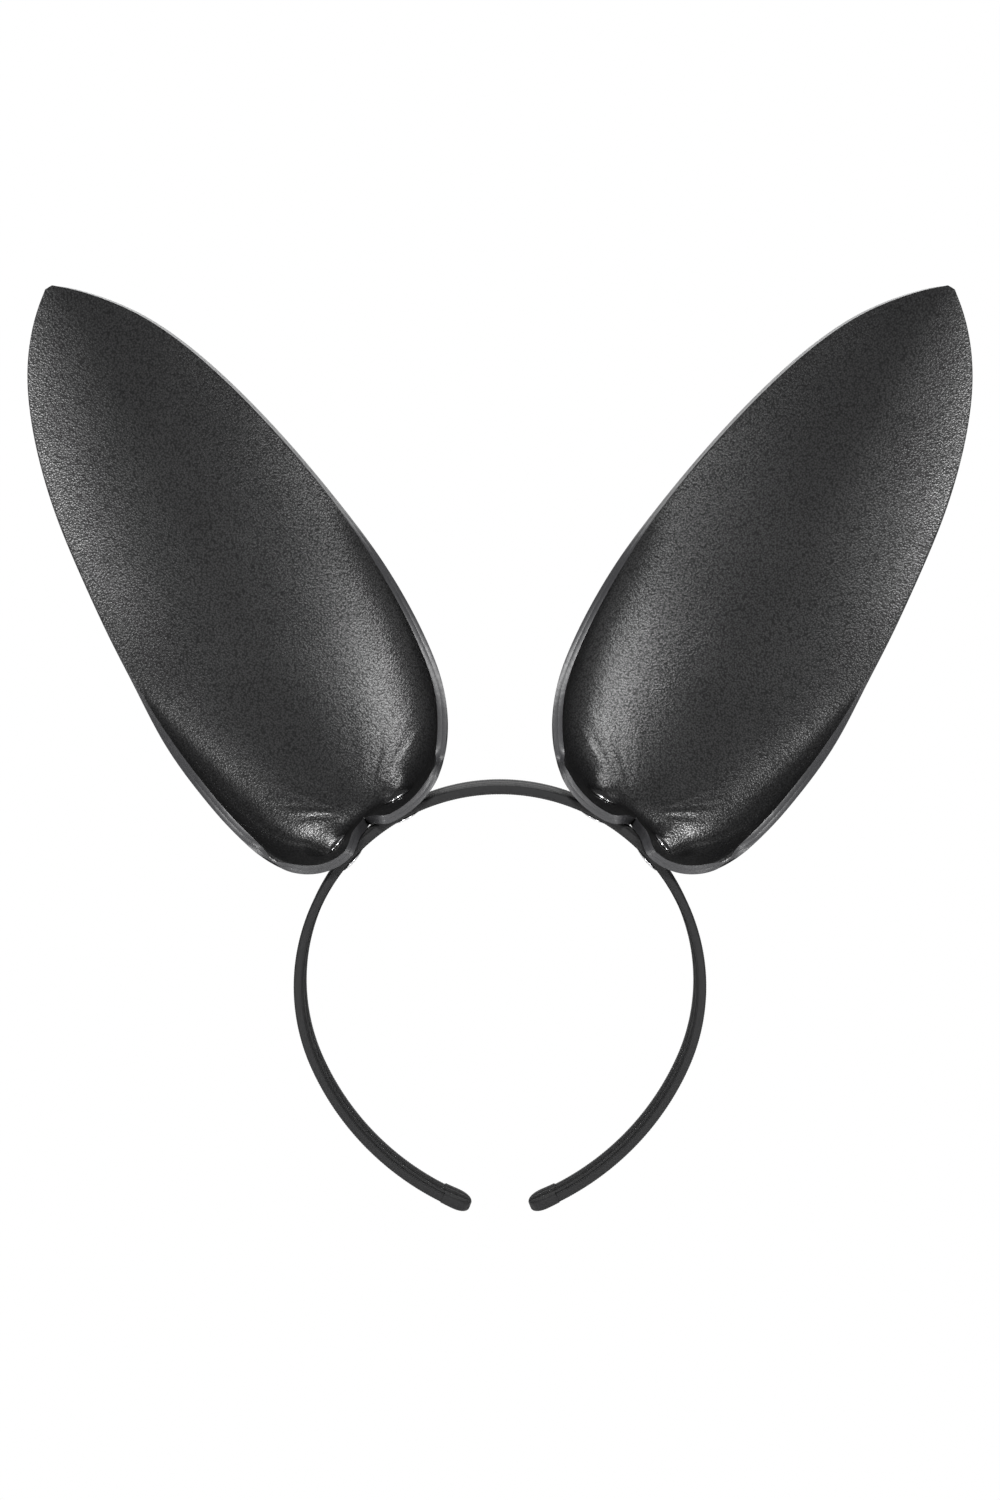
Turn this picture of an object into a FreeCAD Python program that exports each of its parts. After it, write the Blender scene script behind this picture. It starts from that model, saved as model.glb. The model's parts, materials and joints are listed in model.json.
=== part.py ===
"""Animal ears headband: a covered spring band with two riveted leather ears.

Millimetres. The origin is the centre of the band's crown arc, midway through its width.
+X is towards the right ear as seen from the front, +Y towards the back, +Z up.
Angles along the band are measured from its top.
"""
import FreeCAD, Part
import math
import os

import Sketcher
from FreeCAD import Placement, Rotation, Vector

SIZES = {
    "crown_radius": 65.6,         # middle of the band's thickness
    "arm_radius": 90.0,           # the straighter lower run of each arm
    "arm_curve_angle": 113.0,     # where the lower run begins
    "arm_sweep": 46.0,            # turn of the lower run
    "flex_angle": 60.0,           # where an arm bends away from the crown
    "flex_gap_angle": 0.35,
    "band_width": 16.0,
    "tip_width": 11.0,
    "taper_top": 40.0,            # heights between which the width runs down
    "taper_bottom": -80.0,
    "core_thickness": 1.8,
    "cover_thickness": 0.55,
    "lining_thickness": 0.4,
    "lining_margin": 1.6,
    "edge_round": 0.8,
    "wrap_length": 10.0,
    "wrap_thickness": 0.4,
    "wrap_nose": 4.0,             # solid folded fabric past the strip's end
    "wrap_play": 0.5,             # the strip is this much narrower than the wrap's pocket
    "leather_thickness": 3.0,
    "bond_gap": 0.02,             # glue line between an ear's two plies
    "seat_lift": 0.2,             # keeps the flat lobes off the curved band
    "cap_gap": 0.1,               # keeps a cap off the leather's slight waves
    "ear_lean": 30.3,
    "ear_seat_angle": 38.8,
    "inner_rivet_angle": 28.4,
    "outer_rivet_angle": 49.1,
    "cap_radius": 4.5,
    "cap_height": 1.7,
    "cap_edge": 0.5,
    "back_cap_height": 1.0,
    "back_cap_edge": 0.4,
    "back_cap_drop": 0.2,
    "post_radius": 1.5,
    "post_play": 0.02,
    "socket_radius": 2.0,
    "hole_play": 0.05,
}

# Leaf of the left ear: (across, up, depth) from the ear's seat, one row per line from the
# lobe's front rim to the tip. The first rows are the floor on the band and its fold.
BASE_ROWS = [
    # middle                two inner points and the rim, crown side      ... and arm side
    ((0.0, 0.8, -12.5), ((10, -2.8, -14.2), (22, -1.8, -14.2), (31, 6.0, -13.2)),
     ((-9, -7.6, -14.2), (-22, -6.8, -14.2), (-31, 6.0, -13.2))),
    ((0.0, 0.2, -5.5), ((14, 1.8, -6.2), (29, -1.2, -8.0), (36.4, 13.0, -12.2)),
     ((-14, -2.8, -6.4), (-27.5, -7.8, -8.0), (-33.8, 14.3, -12.4))),
    ((0.0, 0.2, 3.5), ((14, 1.5, 4.5), (33, 0.0, 1.0), (41.7, 22.0, -11.0)),
     ((-14, -3.6, 4.5), (-32.5, -5.0, 1.0), (-36.8, 24.8, -11.2))),
    ((0.0, 1.2, 7.8), ((14, 1.6, 8.8), (38.0, 8.0, 2.5), (44.6, 31.3, -9.0)),
     ((-14, -0.9, 8.8), (-36, 3.0, 4.0), (-39.0, 35.3, -8.0))),
    ((0.0, 7.5, 9.5), ((16, 8.0, 10.0), (40.5, 20.0, 2.5), (46.0, 41.8, -6.8)),
     ((-15, 8.0, 10.0), (-35.5, 15.0, 4.2), (-41.1, 46.0, -4.0))),
    ((0.0, 22.0, 9.5), ((17, 23.0, 9.8), (41.5, 35.0, 3.0), (46.9, 54.5, -4.6)),
     ((-15, 22.5, 9.8), (-35, 31.0, 5.4), (-42.6, 59.0, -0.2))),
    ((0.0, 40.0, 9.3), ((17, 42.0, 9.2), (41, 54.0, 3.8), (46.9, 70.0, -2.9)),
     ((-15, 42.0, 9.2), (-34, 51.0, 6.2), (-42.4, 74.5, 2.0))),
]
# Blade rows: middle up and depth, crown-side rim across and up, arm-side rim across and up,
# rim depth, and how boxy the section is, from 0 for a plain arch.
BLADE_ROWS = [
    (64.0, 8.8, 45.3, 88.5, -41.5, 92.0, 1.4, 0.30),
    (92.0, 8.2, 41.9, 111.5, -39.0, 114.0, 1.8, 0.20),
    (120.0, 7.4, 37.2, 134.0, -36.2, 135.5, 2.0, 0.10),
    (147.0, 6.5, 30.7, 156.5, -30.7, 157.0, 2.6, 0.05),
    (170.0, 5.6, 22.7, 175.0, -23.2, 175.3, 3.1, 0.0),
    (186.0, 4.9, 13.2, 187.8, -14.3, 188.0, 3.8, 0.0),
    (195.0, 4.4, 5.4, 195.8, -6.2, 195.6, 4.1, 0.0),
    (199.0, 4.2, 1.3, 198.9, -1.3, 198.9, 4.2, 0.0),
]
ROW_SAMPLES = 70
SIDE_SAMPLES = 14
MIDDLE_BLEND = 0.3                # share of a half over which the leaf's two halves merge
FLAT_RADIUS = 5.3                 # flat seat under a rivet cap, and where it fades out
FADE_RADIUS = 9.6
FLAT_HEIGHT = 6.0                 # how far from the seat the leaf is still pressed flat
FADE_HEIGHT = 10.0
# The slit between the lobes, seen from above: half its width against depth.
SLIT_APEX = 3.0
SLIT_STRAIGHT = (4.2, -10.0)
SLIT_FLARE = ((5.6, -12.3), (9.5, -14.2))
SLIT_FRONT = -22.0
SLIT_MIDDLE = -0.4
SLIT_BOTTOM = -9.0                # heights between which the slit's wedge runs
SLIT_TOP = 5.4

doc = FreeCAD.newDocument("headband")


def fill_sheet():
    """Put every driving size in the spreadsheet under its own name."""
    sheet = doc.addObject("Spreadsheet::Sheet", "Sizes")
    for row, (name, value) in enumerate(SIZES.items(), start=1):
        sheet.set(f"A{row}", name)
        sheet.set(f"B{row}", str(value))
        sheet.setAlias(f"B{row}", name)
    doc.recompute()
    return sheet


sheet = fill_sheet()


def size(name):
    """Read one size back from the spreadsheet."""
    return float(getattr(sheet, name))


def bind(obj, **sizes):
    """Tie properties of an object to spreadsheet expressions."""
    for name, expression in sizes.items():
        obj.setExpression(name, expression)


def add(kind, label, **sizes):
    """Make a document object with bound sizes."""
    obj = doc.addObject(kind, label)
    obj.Label = label
    bind(obj, **sizes)
    return obj


def combine(kind, label, parts):
    """Cut the second solid from the first, or fuse or intersect them."""
    obj = add(kind, label)
    obj.Base, obj.Tool = parts
    return obj


def cut(label, base, tool):
    """Take a tool away from a base."""
    return combine("Part::Cut", label, (base, tool))


def mirror(label, source):
    """Make the left twin of a right-hand piece, or the other way round."""
    obj = add("Part::Mirroring", label)
    obj.Source = source
    obj.Base = Vector(0, 0, 0)
    obj.Normal = Vector(1, 0, 0)
    return obj


# Radial layers of the band, as offsets from the middle of its thickness.
BAND_HALF = "(Sizes.core_thickness / 2 + Sizes.cover_thickness + Sizes.lining_thickness / 2)"
COVER_TOP = BAND_HALF
CORE_TOP = f"({COVER_TOP} - Sizes.cover_thickness)"
CORE_LOW = f"({CORE_TOP} - Sizes.core_thickness)"
COVER_LOW = f"({CORE_LOW} - Sizes.cover_thickness)"
LINING_LOW = f"(-1 * {BAND_HALF})"
COVER_WIDTH = "Sizes.band_width"
COVER_TIP = "Sizes.tip_width"
CORE_WIDTH = "(Sizes.band_width - 2 * Sizes.cover_thickness)"
CORE_TIP = "(Sizes.tip_width - 2 * Sizes.cover_thickness)"
LINING_WIDTH = "(Sizes.band_width - 2 * Sizes.lining_margin)"
LINING_TIP = "(Sizes.tip_width - 2 * Sizes.lining_margin)"
SPARE = 4.0                       # how far a cutting tool runs past what it cuts
HOLE_LENGTH = 24.0                # long enough for leather and band together
WRAP_DEPTH = 12.0                 # depth of the tools that round the wraps' noses


def read(expression):
    """Value of a sheet expression, or of a plain number."""
    return float(sheet.evalExpression(expression))


def band_half():
    """Half of the band's full thickness."""
    return read(BAND_HALF)


def ring(label, radius, low, high, width, start, sweep, centre=(0.0, 0.0)):
    """A length of strip bent to a radius, from one angle from the top to another.

    It is the right-hand side's strip when the angles are positive.
    """
    outside = add("Part::Cylinder", label + "_outside", Radius=f"{radius} + {high}", Height=width)
    outside.Angle = sweep
    turn = Rotation(Vector(1, 0, 0), 90) * Rotation(Vector(0, 0, 1), 90 - start - sweep)
    half = read(width) / 2
    outside.Placement = Placement(Vector(centre[0], half, centre[1]), turn)
    inside = add("Part::Cylinder", label + "_inside", Radius=f"{radius} + {low}",
                 Height=f"{width} + {2 * SPARE}")
    inside.Placement = Placement(Vector(centre[0], half + SPARE, centre[1]), turn)
    return cut(label + "_ring", outside, inside)


def lower_centre():
    """Centre of the right arm's lower arc, which leaves the crown's arc smoothly."""
    angle = math.radians(size("arm_curve_angle"))
    shift = size("crown_radius") - size("arm_radius")
    return shift * math.sin(angle), shift * math.cos(angle)


def crown_strip(label, low, high, width):
    """One layer of the crown."""
    angle = size("flex_angle")
    return ring(label, "Sizes.crown_radius", low, high, width, -angle, 2 * angle)


def arm_strip(label, low, high, width, tip, short=0.0):
    """One layer of the right arm, in two arcs, narrowing towards its end."""
    start = size("flex_angle") + size("flex_gap_angle")
    upper = ring(label + "_upper", "Sizes.crown_radius", low, high, width,
                 start, size("arm_curve_angle") - start)
    lower = ring(label + "_lower", "Sizes.arm_radius", low, high, width, size("arm_curve_angle"),
                 size("arm_sweep") - math.degrees(short / size("arm_radius")), lower_centre())
    both = combine("Part::Fuse", label + "_arcs", (upper, lower))
    both.Refine = True
    taper = add("Part::Wedge", label + "_taper", Ymin="Sizes.taper_bottom",
                Ymax="Sizes.taper_top", Zmin=f"-0.5 * {tip}", Zmax=f"0.5 * {tip}",
                Z2min=f"-0.5 * {width}", Z2max=f"0.5 * {width}")
    taper.Xmin = taper.X2min = -2 * size("crown_radius")
    taper.Xmax = taper.X2max = 2 * size("crown_radius")
    taper.Placement = Placement(Vector(0, 0, 0), Rotation(Vector(1, 0, 0), 90))
    return combine("Part::Common", label + "_tapered", (both, taper))


def round_edges(label, strip):
    """Round the long edges of a strip, which are all longer than twice its width."""
    doc.recompute()
    rounded = add("Part::Fillet", label)
    rounded.Base = strip
    radius = size("edge_round")
    rounded.Edges = [(number, radius, radius) for number, edge in enumerate(strip.Shape.Edges, start=1)
                     if edge.Length > 2 * size("band_width")]
    return rounded


RIVETS = [(side, name) for side in ("left", "right") for name in ("inner", "outer")]


def rivet_place(side, name, drop=0.0):
    """Where a rivet sits on the band's outer face: its +Z runs out of the band."""
    angle = math.radians(size(name + "_rivet_angle"))
    across = -math.sin(angle) if side == "left" else math.sin(angle)
    outward = Vector(across, 0, math.cos(angle))
    radius = size("crown_radius") + band_half() - drop
    return Placement(outward * radius, Rotation(Vector(0, 0, 1), outward))


def rivet_holes(label):
    """Pins that open the four rivet holes through band and leather."""
    pins = []
    for side, name in RIVETS:
        pin = add("Part::Cylinder", f"{label}_{side}_{name}",
                  Radius="Sizes.socket_radius + Sizes.hole_play", Height=str(HOLE_LENGTH))
        pin.Placement = rivet_place(side, name, HOLE_LENGTH / 2)
        pins.append(pin)
    group = add("Part::MultiFuse", label)
    group.Shapes = pins
    return group


def make_band():
    """Core, cover and lining of the crown and both arms, and the two end wraps."""
    nodes = []
    short = size("wrap_nose")
    crown_cavity = crown_strip("crown_cavity", CORE_LOW, CORE_TOP, CORE_WIDTH)
    crown_body = crown_strip("crown_body", COVER_LOW, COVER_TOP, COVER_WIDTH)
    crown_shell = cut("crown_shell", round_edges("crown_skin", crown_body), crown_cavity)
    crown_core = crown_strip("crown_strip", CORE_LOW, CORE_TOP, CORE_WIDTH)
    crown_ribbon = crown_strip("crown_ribbon", LINING_LOW, COVER_LOW, LINING_WIDTH)
    for label, solid in (("crown_cover", crown_shell), ("crown_core", crown_core),
                         ("crown_lining", crown_ribbon)):
        nodes.append(cut(label, solid, rivet_holes(label + "_holes")))

    arm_cavity = arm_strip("arm_cavity", CORE_LOW, CORE_TOP, CORE_WIDTH, CORE_TIP, short)
    arm_body = arm_strip("arm_body", COVER_LOW, COVER_TOP, COVER_WIDTH, COVER_TIP, short)
    arm_cover = cut("right_arm_cover", round_edges("arm_skin", arm_body), arm_cavity)
    arm_core = arm_strip("right_arm_core", CORE_LOW, CORE_TOP, CORE_WIDTH, CORE_TIP, short)
    arm_core.Label = "right_arm_core"
    arm_lining = arm_strip("right_arm_lining", LINING_LOW, COVER_LOW, LINING_WIDTH, LINING_TIP, short)
    arm_lining.Label = "right_arm_lining"
    wrap = make_wrap()
    for piece in (arm_cover, arm_core, arm_lining, wrap):
        nodes.append(piece)
        nodes.append(mirror(piece.Label.replace("right", "left"), piece))
    return nodes


def make_wrap():
    """The right arm's folded end wrap: a round-nosed pocket over the strip's end."""
    end = size("arm_curve_angle") + size("arm_sweep")
    per_mm = math.degrees(1 / size("arm_radius"))
    start = end - size("wrap_length") * per_mm
    high = f"({COVER_TOP} + Sizes.wrap_thickness)"
    low = f"({LINING_LOW} - Sizes.wrap_thickness)"
    width = "(Sizes.tip_width + 2 * Sizes.wrap_thickness)"
    body = ring("wrap_body", "Sizes.arm_radius", low, high, width, start, end - start, lower_centre())
    radius = read(width) / 2
    centre = Vector(lower_centre()[0], 0, lower_centre()[1])
    nose_angle = math.radians(end - radius * per_mm)
    outward = Vector(math.sin(nose_angle), 0, math.cos(nose_angle))
    nose = add("Part::Cylinder", "wrap_nose", Radius=f"{width} / 2", Height=str(WRAP_DEPTH))
    nose.Placement = Placement(centre + outward * (size("arm_radius") - WRAP_DEPTH / 2),
                               Rotation(Vector(0, 0, 1), outward))
    stem = add("Part::Box", "wrap_stem", Length="2 * Sizes.wrap_length", Width=width,
               Height=str(WRAP_DEPTH))
    back = Vector(-math.cos(nose_angle), 0, math.sin(nose_angle))
    turn = Rotation(back, Vector(0, 1, 0), outward, "XZY")
    stem.Placement = Placement(nose.Placement.Base - turn.multVec(Vector(0, radius, 0)), turn)
    outline = combine("Part::Fuse", "wrap_outline", (nose, stem))
    rounded = combine("Part::Common", "wrap_rounded", (body, outline))
    overrun = SPARE * per_mm
    strip = ring("wrap_strip", "Sizes.arm_radius", LINING_LOW, COVER_TOP,
                 "Sizes.tip_width + Sizes.wrap_play", start - overrun,
                 end - start + overrun - size("wrap_nose") * per_mm, lower_centre())
    return cut("right_end_wrap", rounded, strip)


def blend_third(start, end, across, along, inward):
    """A point part of the way from the middle to the rim, by its own share in each direction."""
    return tuple(a + (b - a) * share for a, b, share in zip(start, end, (across, along, inward)))


def blade_row(row):
    """Control points of one blade row, from its middle out to both rims."""
    up, depth, crown_across, crown_up, arm_across, arm_up, rim_depth, box = row
    middle = (0.0, up, depth)
    sides = []
    for across, rim_up in ((crown_across, crown_up), (arm_across, arm_up)):
        rim = (across, rim_up, rim_depth)
        near = blend_third(middle, rim, 0.34, 0.33 - 0.28 * box, 0.05)
        far = blend_third(middle, rim, 0.667 + 0.2 * box, 0.667 - 0.37 * box, 0.38)
        sides.append((near, far, rim))
    return middle, sides[0], sides[1]


LEAF_ROWS = BASE_ROWS + [blade_row(row) for row in BLADE_ROWS]


def row_weights(place):
    """The four rows that shape one place along the leaf, and their cubic weights."""
    index = min(int(place), len(LEAF_ROWS) - 2)
    part = place - index
    rest = 1 - part
    weights = (rest ** 3 / 6, (3 * part ** 3 - 6 * part ** 2 + 4) / 6,
               (3 * rest ** 3 - 6 * rest ** 2 + 4) / 6, part ** 3 / 6)
    return index, weights


def along(points, place):
    """Smooth line along the leaf, through one control point of every row."""
    first = points[0] * 2 - points[1]
    last = points[-1] * 2 - points[-2]
    padded = [first] + points + [last]
    index, weights = row_weights(place)
    total = Vector(0, 0, 0)
    for step, weight in enumerate(weights):
        total += padded[index + step] * weight
    return total


def leaf_lines(side):
    """The four control lines of one half of the leaf: middle, two between, and rim."""
    lines = [[Vector(*row[0]) for row in LEAF_ROWS]]
    for column in range(3):
        lines.append([Vector(*row[side][column]) for row in LEAF_ROWS])
    return lines


def lobe_plane(angle_name):
    """A rivet's seat in the leaf's own frame: a point on it and its outward direction."""
    angle = math.radians(size(angle_name))
    seat_angle = math.radians(size("ear_seat_angle"))
    lean = math.radians(size("ear_lean"))
    radius = size("crown_radius") + band_half() + size("leather_thickness") / 2
    dx = -radius * math.sin(angle) + radius * math.sin(seat_angle)
    dz = radius * math.cos(angle) - radius * math.cos(seat_angle)
    point = Vector(dx * math.cos(lean) + dz * math.sin(lean),
                   dz * math.cos(lean) - dx * math.sin(lean), 0)
    turn = angle - lean
    return point, Vector(-math.sin(turn), math.cos(turn), 0)


SEATS = [lobe_plane("inner_rivet_angle"), lobe_plane("outer_rivet_angle")]


def ease(value, full, none):
    """Fall smoothly from 1 at one value to 0 at another."""
    part = min(max((none - value) / (none - full), 0.0), 1.0)
    return part ** 2 * (3 - 2 * part)


def seat_flat(point):
    """Press the leaf flat round each rivet."""
    for seat, outward in SEATS:
        offset = point - seat
        height = offset.dot(outward)
        reach = (offset - outward * height).Length
        press = ease(reach, FLAT_RADIUS, FADE_RADIUS) * ease(abs(height), FLAT_HEIGHT, FADE_HEIGHT)
        point = point - outward * (height * press)
    return point


def half_point(side, place, part):
    """A point of one half's section, from the middle at 0 to the rim at 1."""
    middle, near, far, rim = (along(line, place) for line in leaf_lines(side))
    rest = 1 - part
    return (middle * rest ** 3 + near * (3 * rest ** 2 * part)
            + far * (3 * rest * part ** 2) + rim * part ** 3)


def leaf_point(place, share):
    """A point of the leaf's middle layer; share runs from -1 at the arm rim to 1 at the crown rim.

    Near the middle the two halves' sections are mixed, so that they meet without a crease.
    """
    crown_share = ease(-share, -MIDDLE_BLEND, MIDDLE_BLEND)
    point = Vector(0, 0, 0)
    if crown_share > 0:
        point += half_point(1, place, share) * crown_share
    if crown_share < 1:
        point += half_point(2, place, -share) * (1 - crown_share)
    return seat_flat(point)


def to_world(point):
    """From the left leaf's (across, up, depth) to the headband's own frame."""
    seat_angle = math.radians(size("ear_seat_angle"))
    lean = math.radians(size("ear_lean"))
    radius = (size("crown_radius") + band_half() + size("leather_thickness") / 2
              + size("seat_lift"))
    across = Vector(math.cos(lean), 0, math.sin(lean))
    upward = Vector(-math.sin(lean), 0, math.cos(lean))
    seat = Vector(-radius * math.sin(seat_angle), 0, radius * math.cos(seat_angle))
    return seat + across * point.x + upward * point.y + Vector(0, point.z, 0)


def leaf_grid():
    """Sampled points and unit normals of the leaf, the normals facing the front."""
    places = [(len(LEAF_ROWS) - 1) * row / ROW_SAMPLES for row in range(ROW_SAMPLES + 1)]
    shares = [column / SIDE_SAMPLES for column in range(-SIDE_SAMPLES, SIDE_SAMPLES + 1)]
    points = [[to_world(leaf_point(place, share)) for share in shares] for place in places]
    normals = []
    for row in range(len(places)):
        before, after = max(row - 1, 0), min(row + 1, len(places) - 1)
        line = []
        for column in range(len(shares)):
            left, right = max(column - 1, 0), min(column + 1, len(shares) - 1)
            up = points[after][column] - points[before][column]
            over = points[row][right] - points[row][left]
            line.append(over.cross(up).normalize())
        normals.append(line)
    if normals[len(places) // 2][SIDE_SAMPLES].y > 0:
        normals = [[-normal for normal in line] for line in normals]
    return points, normals


def ply_solid(points, normals, low, high):
    """One leather ply, between two distances in front of the leaf's middle layer."""
    faces = []
    for distance in (low, high):
        surface = Part.BSplineSurface()
        surface.interpolate([[point + normal * distance for point, normal in zip(line, facing)]
                             for line, facing in zip(points, normals)])
        faces.append(surface.toShape())
    sides = [Part.makeRuledSurface(back, front)
             for back, front in zip(faces[0].Edges, faces[1].Edges)]
    shell = Part.makeShell(faces + sides)
    shell.sewShape()
    solid = Part.Solid(Part.Shell(shell.Faces))
    solid.fix(0.01, 0.01, 0.01)
    if solid.Volume < 0:
        solid.reverse()
    return solid


def slit_tool():
    """The wedge between the two lobes, with their rounded front corners."""
    apex = Vector(SLIT_MIDDLE, SLIT_APEX, SLIT_BOTTOM)
    edges = []
    fronts = []
    for side in (1, -1):
        corners = [Vector(SLIT_MIDDLE + side * across, depth, SLIT_BOTTOM)
                   for across, depth in (SLIT_STRAIGHT, *SLIT_FLARE)]
        front = Vector(corners[-1].x, SLIT_FRONT, SLIT_BOTTOM)
        edges.append(Part.LineSegment(apex, corners[0]).toShape())
        edges.append(Part.Arc(*corners).toShape())
        edges.append(Part.LineSegment(corners[-1], front).toShape())
        fronts.append(front)
    edges.append(Part.LineSegment(*fronts).toShape())
    outline = Part.Wire(Part.sortEdges(edges)[0])
    return Part.Face(outline).extrude(Vector(0, 0, SLIT_TOP - SLIT_BOTTOM))


def make_ears():
    """Front and back leather plies of both ears."""
    points, normals = leaf_grid()
    half = size("leather_thickness") / 2
    bond = size("bond_gap") / 2
    lean = Rotation(Vector(0, 1, 0), -size("ear_lean"))
    nodes = []
    for layer, low, high in (("front", bond, half), ("back", -half, -bond)):
        leaf = add("Part::Feature", f"leaf_{layer}")
        leaf.Shape = ply_solid(points, normals, low, high)
        notch = add("Part::Feature", f"slit_{layer}")
        notch.Shape = slit_tool()
        notch.Placement = Placement(to_world(Vector(0, 0, 0)), lean)
        lobed = cut(f"lobed_{layer}", leaf, notch)
        ply = cut(f"left_ear_{layer}_leather", lobed, rivet_holes(f"leather_{layer}_holes"))
        nodes.append(ply)
        nodes.append(mirror(f"right_ear_{layer}_leather", ply))
    return nodes


def turned_body(label, place, outline, dome):
    """A turned piece: a sketch of its half section, revolved about its own axis.

    The outline's corners are pairs of sheet expressions, radius and height. The side that
    starts at the corner numbered dome is an arc, square to the axis.
    """
    body = doc.addObject("PartDesign::Body", label)
    body.Label = label
    plane = [item for item in body.Origin.OriginFeatures if item.Role == "XZ_Plane"][0]
    sketch = body.newObject("Sketcher::SketchObject", label + "_section")
    sketch.AttachmentSupport = [(plane, "")]
    sketch.MapMode = "FlatFace"
    corners = [Vector(read(radius), read(height), 0) for radius, height in outline]
    following = corners[1:] + corners[:1]
    for number, (start, end) in enumerate(zip(corners, following)):
        if number == dome:
            drop = end.y - start.y
            radius = (start.x ** 2 + drop ** 2) / (2 * abs(drop))
            centre = Vector(0, end.y - math.copysign(radius, drop), 0)
            first = math.atan2(start.y - centre.y, start.x)
            quarter = math.copysign(math.pi / 2, drop)
            circle = Part.Circle(centre, Vector(0, 0, 1), radius)
            sketch.addGeometry(Part.ArcOfCircle(circle, min(first, quarter), max(first, quarter)))
            sketch.addConstraint(Sketcher.Constraint("PointOnObject", number, 3, -2))
            turned = drop < 0
        else:
            sketch.addGeometry(Part.LineSegment(start, end))

    def ends(number):
        flipped = number == dome and turned
        return (2, 1) if flipped else (1, 2)

    for number in range(len(corners)):
        after = (number + 1) % len(corners)
        sketch.addConstraint(Sketcher.Constraint("Coincident", number, ends(number)[1],
                                                 after, ends(after)[0]))
    for number, (radius, height) in enumerate(outline):
        for kind, axis, expression, value in (("DistanceX", -2, radius, corners[number].x),
                                              ("DistanceY", -1, height, corners[number].y)):
            if expression == "0":
                place_on = Sketcher.Constraint("PointOnObject", number, ends(number)[0], axis)
                sketch.addConstraint(place_on)
                continue
            index = sketch.addConstraint(Sketcher.Constraint(kind, -1, 1, number,
                                                             ends(number)[0], value))
            sketch.setExpression(f"Constraints[{index}]", expression)
    turn = body.newObject("PartDesign::Revolution", label + "_turn")
    turn.Profile = sketch
    turn.ReferenceAxis = (sketch, ["V_Axis"])
    turn.Angle = 360.0
    body.Placement = place
    return body


LEATHER_TOP = "(Sizes.leather_thickness + Sizes.seat_lift + Sizes.cap_gap)"
BAND_BACK = f"(-2 * {BAND_HALF} - Sizes.back_cap_drop)"
POST_END = f"({BAND_BACK} - Sizes.post_play)"


def make_rivets():
    """Four two-part rivets: a domed cap with its post, and a back cap with its socket."""
    cap = (("0", POST_END), ("Sizes.post_radius", POST_END), ("Sizes.post_radius", LEATHER_TOP),
           ("Sizes.cap_radius", LEATHER_TOP), ("Sizes.cap_radius", f"{LEATHER_TOP} + Sizes.cap_edge"),
           ("0", f"{LEATHER_TOP} + Sizes.cap_height"))
    bore = "Sizes.post_radius + Sizes.post_play"
    back = (("0", f"{POST_END} - Sizes.post_play"), (bore, f"{POST_END} - Sizes.post_play"),
            (bore, f"{LEATHER_TOP} - Sizes.cap_edge"),
            ("Sizes.socket_radius", f"{LEATHER_TOP} - Sizes.cap_edge"),
            ("Sizes.socket_radius", BAND_BACK), ("Sizes.cap_radius", BAND_BACK),
            ("Sizes.cap_radius", f"{BAND_BACK} - Sizes.back_cap_edge"),
            ("0", f"{BAND_BACK} - Sizes.back_cap_height"))
    nodes = []
    for side, name in RIVETS:
        place = rivet_place(side, name)
        nodes.append(turned_body(f"{side}_{name}_rivet_cap", place, cap, 4))
        nodes.append(turned_body(f"{side}_{name}_rivet_back", place, back, 6))
    return nodes


def check(nodes):
    """Stop if any feature failed or any piece isn't one sound solid."""
    for obj in doc.Objects:
        if "Invalid" in obj.State or "Error" in obj.State:
            raise RuntimeError(f"{obj.Label} failed: {obj.State}")
    for node in nodes:
        if node.Shape.isNull() or not node.Shape.isValid() or len(node.Shape.Solids) != 1:
            raise RuntimeError(f"{node.Label} isn't one valid solid")


def export(nodes):
    """Write each piece's shape under its own name."""
    os.makedirs("parts", exist_ok=True)
    for node in nodes:
        node.Shape.exportStep(f"parts/{node.Label}.step")
        print(f"{node.Label}: {node.Shape.Volume:.1f} mm3")


nodes = make_band() + make_ears() + make_rivets()
doc.recompute()
check(nodes)
export(nodes)
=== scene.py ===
"""Looks of the animal ears headband: leather ears, ribbed band, nickel rivets and studio stage."""
import json
import math

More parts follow.
